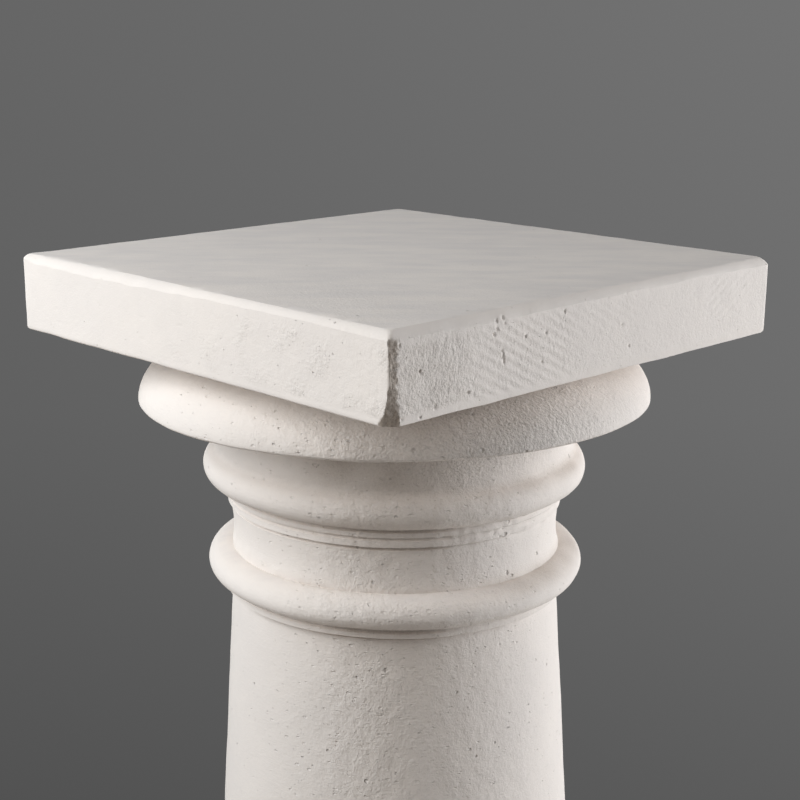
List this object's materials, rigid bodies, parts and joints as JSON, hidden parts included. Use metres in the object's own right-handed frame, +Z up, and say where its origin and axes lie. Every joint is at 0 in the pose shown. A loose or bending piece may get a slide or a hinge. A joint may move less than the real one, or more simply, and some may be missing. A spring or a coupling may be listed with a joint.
{
  "type": "doric column",
  "caption": "Short plaster column with a square flat top, rounded capital mouldings, a tapering plain shaft and a square foot; stands alone and carries a thing on its top.",
  "frame": {"origin": "middle of the underside, where the plinth meets the floor", "axes": "+Z up along the column; +X and +Y square to the sides of the slab and the plinth"},
  "size_m": [0.33, 0.33, 0.9],
  "materials": {
    "plaster": "matt off-white cast plaster with fine pores"
  },
  "bodies": {
    "root": {"column": "plaster"}
  },
  "joints": []
}
